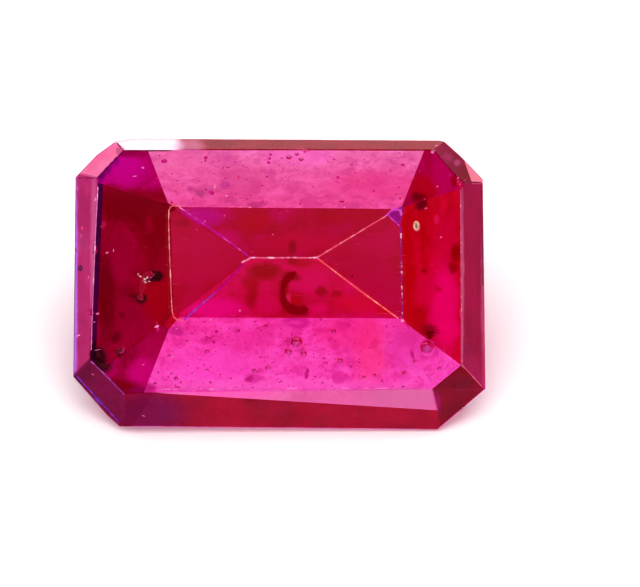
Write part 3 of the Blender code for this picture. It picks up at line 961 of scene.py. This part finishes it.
def addGrain(body, centre, wide, high, thick, turn, rough, fine=3):
    grain = bmesh.ops.create_icosphere(body, subdivisions=fine, radius=1.0)["verts"]
    for v in grain:
        at = v.co * grit["scale"] + centre / mm * grit["spread"]
        v.co *= 1 + rough * noise.fractal(at, grit["dimension"], grit["lacunarity"], grit["octaves"])
    spin = Matrix.Rotation(math.radians(turn), 4, "Z")
    size = Matrix.Diagonal((*(half * view["pixel"] * mm for half in (wide, high, thick)), 1))
    bmesh.ops.transform(body, verts=grain, matrix=Matrix.Translation(centre) @ stoneTurn @ spin @ size)


# grains and crystals caught in the stone: place, half width and half height in pixels, turn in degrees.
# A height is in mm over the pavilion, and a sink in mm under the table or crown.
inclusions = {
    "dark": {
        "colour": (64, 2, 14), "deep": (22, 0, 6), "pale": (104, 14, 24),
        "glow": 0.7, "height": 0.25, "rough": 0.22, "depth": 2.0,
        "at": [
            (98.6, 357, 2.4, 6.4, 12), (103.4, 366, 2.4, 3.6, 35),
        ],
    },
    "pits": {
        "colour": (60, 6, 14), "deep": (20, 0, 4), "pale": (118, 30, 32),
        "glow": 0.75, "sink": 0.14, "rough": 0.3, "depth": 0.2,
        "at": [
            (154.5, 275.6, 3.4, 2.2, 22), (147.6, 279.4, 3.4, 1.8, -28), (140.6, 298.4, 3.2, 2, -10),
            (120.4, 351, 2.6, 2.2, 15),
        ],
    },
    "slate": {
        "colour": (120, 112, 96), "deep": (84, 70, 60), "pale": (160, 150, 130),
        "glow": 0.75, "sink": 0.05, "rough": 0.2, "depth": 0.0,
        "at": [
            (416.3, 226, 1.5, 3, 8),
        ],
    },
    "red": {
        "colour": (120, 0, 6), "deep": (96, 0, 2), "pale": (150, 0, 14),
        "glow": 0.7, "height": 0.3, "rough": 0.2, "depth": 2.6,
        "at": [
            (430.5, 333.5, 4.4, 3, -10), (430, 337, 2.6, 1.8, 0), (352, 276, 1.2, 1, 0),
        ],
    },
    "plum": {
        "colour": (206, 22, 126), "deep": (180, 8, 100), "pale": (226, 60, 160),
        "glow": 0.8, "height": 0.16, "rough": 0.3, "depth": 1.8,
        "at": [
            (307, 373.5, 1.8, 4.6, -14), (249.5, 378.8, 3.6, 2.8, 30), (412.4, 354, 1.6, 5, 12),
            (206.6, 339, 3.2, 2.4, 0), (213.4, 342.2, 1.6, 1.5, 0), (216.2, 331.8, 1.5, 1.5, 0),
            (237, 330.8, 2.2, 1.8, 0), (382, 381, 1.5, 1.5, 0), (350.7, 366.5, 1.6, 1.2, 0),
            (321, 319.6, 1.4, 1.4, 0), (164, 161.2, 2.6, 1.8, 15), (205.8, 157.6, 1.8, 1.6, 0),
            (270.6, 154.5, 1.2, 1.1, 0), (269.6, 158.4, 1.4, 1.2, 0), (268.6, 162.4, 1.5, 1.3, 0),
            (211, 192.4, 2.6, 1.4, -30), (351.6, 164.7, 1.2, 1.1, 0), (374, 190.7, 1.2, 1.1, 0),
            (338, 177, 1.4, 1.2, 0), (403, 165, 1.8, 1.4, 0), (430, 343.5, 6.5, 3, -8),
        ],
    },
}
grainThick = 0.9  # of its smaller half width
grainRough = 2  # how much rougher its shape is than its surface


def buildInclusions():
    for name, kind in inclusions.items():
        body = bmesh.new()
        for px, py, wide, high, turn in kind["at"]:
            if "sink" in kind:
                centre = onTop(px, py, kind["sink"])
            else:
                centre = onPavilion(px, py, kind["height"])
            addGrain(body, centre, wide, high, min(wide, high) * grainThick, turn, kind["rough"] * grainRough)
        addPiece("inclusions_" + name, body, inclusionMaterial("inclusion_" + name, kind), True)
    print("inclusions built")


# specks of dust and healed grains scattered through the pink faces
specks = {
    "count": 260, "size": (0.35, 1.1), "height": (0.06, 0.4), "seed": 11, "turn": (0, 180), "fine": 1,
    "colour": (216, 20, 118), "deep": (180, 0, 84), "pale": (232, 56, 156),
    "glow": 0.8, "rough": 0.3, "depth": 1.8,
}


def buildSpecks():
    body = bmesh.new()
    dice = random.Random(specks["seed"])
    for px, py in pinkPlaces(dice, specks["count"]):
        wide = dice.uniform(*specks["size"])
        high = dice.uniform(*specks["size"])
        centre = onPavilion(px, py, dice.uniform(*specks["height"]))
        turn = dice.uniform(*specks["turn"])
        addGrain(body, centre, wide, high, min(wide, high), turn, specks["rough"], specks["fine"])
    addPiece("specks", body, inclusionMaterial("speck", specks), True)
    print("specks built")


# the dark curl under the keel: points, with the half width at each in pixels
curl = {
    "height": 0.35, "colour": (146, 0, 8), "deep": (124, 0, 4), "pale": (168, 0, 24),
    "glow": 0.72, "rough": 0.3, "depth": 2.8, "solid": 0.4,
    "between": 3, "high": 0.9, "thick": 0.5, "turn": 25, "turnBetween": 40, "lumps": 0.5,
    "points": [
        (294, 273.6, 2.6), (289.4, 276, 4), (285, 281.4, 3.2), (282.8, 288, 2.4), (282.4, 294, 2.4),
        (283.4, 300, 3), (287, 305.6, 3.8), (293, 309.6, 4.4), (299.6, 311, 4.2), (305, 309.6, 2.8),
    ],
}


def buildCurl():
    body = bmesh.new()
    points = curl["points"]
    for i, (px, py, wide) in enumerate(points):
        nx, ny, nextWide = points[min(i + 1, len(points) - 1)]
        for k in range(curl["between"]):
            t = k / curl["between"]
            centre = onPavilion(px + (nx - px) * t, py + (ny - py) * t, curl["height"])
            size = wide + (nextWide - wide) * t
            turn = curl["turnBetween"] * k + curl["turn"] * i
            addGrain(body, centre, size, size * curl["high"], size * curl["thick"], turn, curl["lumps"])
    addPiece("curl", body, inclusionMaterial("curl", curl), True)
    print("curl built")


# painted highlights: glowing pale specks just under the table and crown, where nicks, scratches and grains
# catch the light. Place, half length and half width in pixels, turn in degrees
glintShape = {"sink": 0.03, "depth": 0.0, "trim": 0.8, "thick": 0.4, "fine": 2}
glints = {
    "pale": {
        "colour": (240, 120, 176), "deep": (222, 70, 140), "pale": (252, 196, 220),
        "glow": 0.78, "rough": 0.45,
        "at": [
            (157, 326.6, 3, 1.3, 18), (143.3, 168, 1.8, 1.2, -30), (135.4, 176.4, 2.6, 0.8, 5),
            (107.6, 252.8, 2, 1.3, 10), (114, 250.6, 0.8, 2, 0), (96, 199.6, 1.2, 3, -8),
            (89.4, 277.5, 1.3, 2, 0), (80, 335, 4.4, 0.7, 18), (98, 313.6, 2, 1.4, 15),
            (94.8, 322, 1.2, 0.9, 0), (98, 349.8, 4, 0.5, 14), (93.4, 374, 2.8, 0.6, -10),
            (143.7, 415.4, 2.4, 0.8, -25), (227, 196, 2.2, 0.9, 0), (402.4, 320.4, 2.4, 2, -30),
            (317, 257.4, 2.2, 1.6, 20), (240.5, 207.2, 2.6, 0.8, 0), (250, 207.6, 2, 0.8, 0),
            (344.5, 207.2, 1.2, 1, 0), (300, 207, 1.4, 0.6, 0), (211, 319.8, 1.6, 0.9, 0),
            (240, 310.6, 1.4, 1.1, -30), (284, 388, 1.2, 0.8, 0), (210, 389, 4.6, 0.8, -12),
            (182, 393, 3.4, 0.7, -24), (432.5, 152, 2.6, 2, 30), (436, 146.5, 1.4, 2.4, -40),
            (177, 328.6, 1.6, 0.6, 0), (172.6, 357, 3.8, 0.6, 36), (215, 187, 0.7, 4, -4),
            (273, 234.6, 1.2, 0.8, 0), (205, 221.5, 1.6, 0.7, -35),
        ],
    },
    "gold": {
        "colour": (200, 150, 146), "deep": (110, 44, 50), "pale": (240, 222, 212),
        "glow": 0.8, "rough": 0.5,
        "at": [
            (144.5, 279.8, 2.6, 1.8, 30), (140.6, 276.4, 2.2, 1, -30), (147.6, 277.8, 1.8, 1.3, 60),
            (145.6, 282.4, 2.2, 1.1, 0), (138.6, 274.2, 1.6, 0.9, 40), (149.6, 281.4, 1.2, 0.8, 0),
        ],
    },
    "rose": {
        "colour": (232, 60, 118), "deep": (212, 36, 96), "pale": (248, 120, 160),
        "glow": 0.78, "rough": 0.45,
        "at": [
            (425.6, 208.6, 1.8, 1.1, 20), (437, 186.6, 1.8, 1.1, 15), (440.7, 237.4, 1.5, 1.2, 0),
            (457.5, 178.5, 1.4, 1.8, -20), (464.5, 180.5, 1.3, 1.1, 0), (459.5, 184.5, 1.4, 1.1, 0),
            (338.8, 338.4, 1.5, 1.2, 0), (197, 229.8, 1.2, 0.9, 0), (143.7, 364.6, 1.7, 1.1, 0),
            (225, 215.6, 1.2, 1.4, 0), (78, 188, 1.6, 2.6, 0), (83, 228, 2, 2.4, 0),
            (82, 236, 1.4, 1.8, 0), (101.6, 226.6, 1, 0.8, 0),
        ],
    },
}


def buildGlints():
    trim = glintShape["trim"]
    for name, kind in glints.items():
        body = bmesh.new()
        for px, py, long, wide, turn in kind["at"]:
            centre = onTop(px, py, glintShape["sink"])
            addGrain(
                body, centre, long * trim, wide * trim, glintShape["thick"], turn, kind["rough"], glintShape["fine"])
        addPiece("glints_" + name, body, inclusionMaterial("glint_" + name, {**glintShape, **kind}), True)
    print("glints built")


# the pale rim of a small pit in the right part of the table, a thread that shines by itself: painted light
rim = {
    "middle": (416.2, 226.0), "half": (2.3, 4.2), "sink": 0.03, "radius": 0.021, "wobble": 0.9, "steps": 16,
    "colour": (226, 170, 140), "deep": (180, 110, 96), "pale": (244, 214, 184),
    "glow": 0.8, "rough": 0.3, "depth": 0.0,
}


def buildRim():
    body = bmesh.new()
    points = []
    for i in range(rim["steps"] + 1):
        a = 2 * math.pi * i / rim["steps"]
        px = rim["middle"][0] + rim["half"][0] * math.cos(a)
        py = rim["middle"][1] + rim["half"][1] * math.sin(a)
        points.append(onTop(px, py, rim["sink"]))
    addThread(body, points, rim["radius"], rim["wobble"])
    addPiece("pit_rim", body, inclusionMaterial("pit_rim", rim), True)
    print("pit rim built")


floor = {"radius": 0.6, "drop": 0.00002, "sides": 96, "colour": (0.92, 0.915, 0.91, 1.0), "rough": 0.9}


def buildFloor():
    disc = bmesh.new()
    bmesh.ops.create_circle(disc, cap_ends=True, segments=floor["sides"], radius=floor["radius"])
    bmesh.ops.translate(disc, vec=(0, 0, -floor["drop"]), verts=disc.verts)
    piece = bpy.data.objects.new("floor", meshFrom(disc, "floor"))
    bpy.context.scene.collection.objects.link(piece)
    material, tree, shader = newMaterial("floor")
    setSockets(shader, {"Base Color": floor["colour"], "Roughness": floor["rough"]})
    piece.data.materials.append(material)
    print("floor built")


# soft patches of the studio around the stone: degrees from the table's own direction, towards
# a clock angle seen square to the table (0 right, 90 up), how wide, and how much brighter or darker
studio = {
    "colour": (1.0, 1.0, 1.0, 1.0),
    "base": 1.15,
    "patches": {
        "lens": {"tilt": 0, "clock": 0, "inner": 4, "outer": 6, "add": -1.6},
        "halo": {"tilt": 0, "clock": 0, "inner": 30, "outer": 50, "add": 0.5},
        "overhead": {"tilt": 44, "clock": 90, "inner": 12, "outer": 28, "add": 0.5},
        "rightSide": {"tilt": 62, "clock": 12, "inner": 8, "outer": 22, "add": -1.0},
        "backWall": {"tilt": 100, "clock": 95, "inner": 14, "outer": 30, "add": -0.8},
    },
    "lamp": {"towards": (0.1, 0.15, 1), "distance": 0.5, "size": 0.35, "power": 0.25},
}


def direction(tilt, clock):
    t, c = math.radians(tilt), math.radians(clock)
    return (xAxis * math.cos(c) + yAxis * math.sin(c)) * math.sin(t) + nAxis * math.cos(t)


def buildStudio():
    world = bpy.data.worlds.new("studio")
    bpy.context.scene.world = world
    world.use_nodes = True
    tree = world.node_tree
    around = addNode(tree, "TexCoord").outputs["Generated"]
    total = studio["base"]
    for patch in studio["patches"].values():
        near = vectorMaths(tree, "DOT_PRODUCT", around, direction(patch["tilt"], patch["clock"]))
        outer, inner = (math.cos(math.radians(patch[edge])) for edge in ("outer", "inner"))
        total = maths(tree, "ADD", total, smoothStep(tree, near, outer, inner, 0.0, patch["add"]))
    setSockets(tree.nodes["Background"], {"Color": studio["colour"], "Strength": total})
    lamp = studio["lamp"]
    data = bpy.data.lights.new("softbox", "AREA")
    data.shape = "SQUARE"
    data.size = lamp["size"]
    data.energy = lamp["power"]
    light = bpy.data.objects.new("softbox", data)
    way = Vector(lamp["towards"]).normalized()
    light.location = way * lamp["distance"]
    light.rotation_euler = way.to_track_quat("Z", "Y").to_euler()
    bpy.context.scene.collection.objects.link(light)
    print("studio lit")


def buildCamera():
    data = bpy.data.cameras.new("camera")
    shot = bpy.data.objects.new("camera", data)
    bpy.context.scene.collection.objects.link(shot)
    aim = place(view["frame"][0] / 2, view["frame"][1] / 2, view["aimDepth"])
    shot.matrix_world = Matrix.Translation(aim + nAxis * view["distance"]) @ stoneTurn
    data.sensor_width = view["sensor"]
    data.lens = data.sensor_width * view["distance"] / (view["frame"][0] * view["pixel"] * mm)
    data.clip_start, data.clip_end = view["clip"]
    bpy.context.scene.camera = shot
    print("camera set")


def setRender():
    scene = bpy.context.scene
    scene.view_settings.view_transform = "Standard"
    scene.view_settings.gamma = view["gamma"]
    scene.cycles.max_bounces = 24
    scene.cycles.transmission_bounces = 24
    scene.cycles.glossy_bounces = 12
    scene.cycles.transparent_max_bounces = 32
    scene.cycles.volume_bounces = 0
    print("view and light paths set")


buildCamera()
buildFloor()
buildStudio()
buildStone()
buildPaintedLight()
buildPaintedRidges()
buildBubbles()
buildInclusions()
buildSpecks()
buildCurl()
buildGlints()
buildRim()
setRender()
